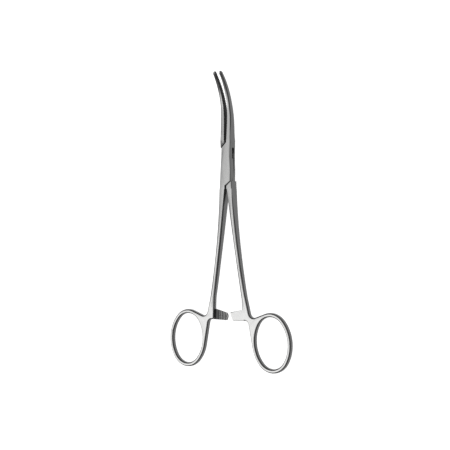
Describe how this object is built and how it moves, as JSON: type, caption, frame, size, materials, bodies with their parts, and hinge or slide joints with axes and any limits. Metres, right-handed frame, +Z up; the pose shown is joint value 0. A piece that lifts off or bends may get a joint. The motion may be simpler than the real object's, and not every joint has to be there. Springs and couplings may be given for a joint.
{
  "type": "hemostat forceps",
  "caption": "Slender curved hemostat forceps with a box lock, serrated jaws, a stepped ratchet and finger rings, in satin stainless steel.",
  "frame": {"origin": "on the pivot's axis, on the underside of the box lock, which the instrument lies on", "axes": "+Y along the jaws, +Z up out of the face that the tips curve towards, +X to the slotted arm's jaw"},
  "size_m": [0.0912, 0.178, 0.0129],
  "materials": {
    "forged_steel": "satin, finely brushed",
    "rivet_steel": "satin, ground flush"
  },
  "bodies": {
    "box_half": {"box_arm": "forged_steel", "pivot_pin": "rivet_steel"},
    "tenon_half": {"tenon_arm": "forged_steel"}
  },
  "joints": [
    {"name": "box_lock", "type": "hinge", "parent": "box_half", "child": "tenon_half", "pos_m": [0, 0, 0], "axis": [0, 0, 1], "range_deg": [-3.6, 56]}
  ]
}
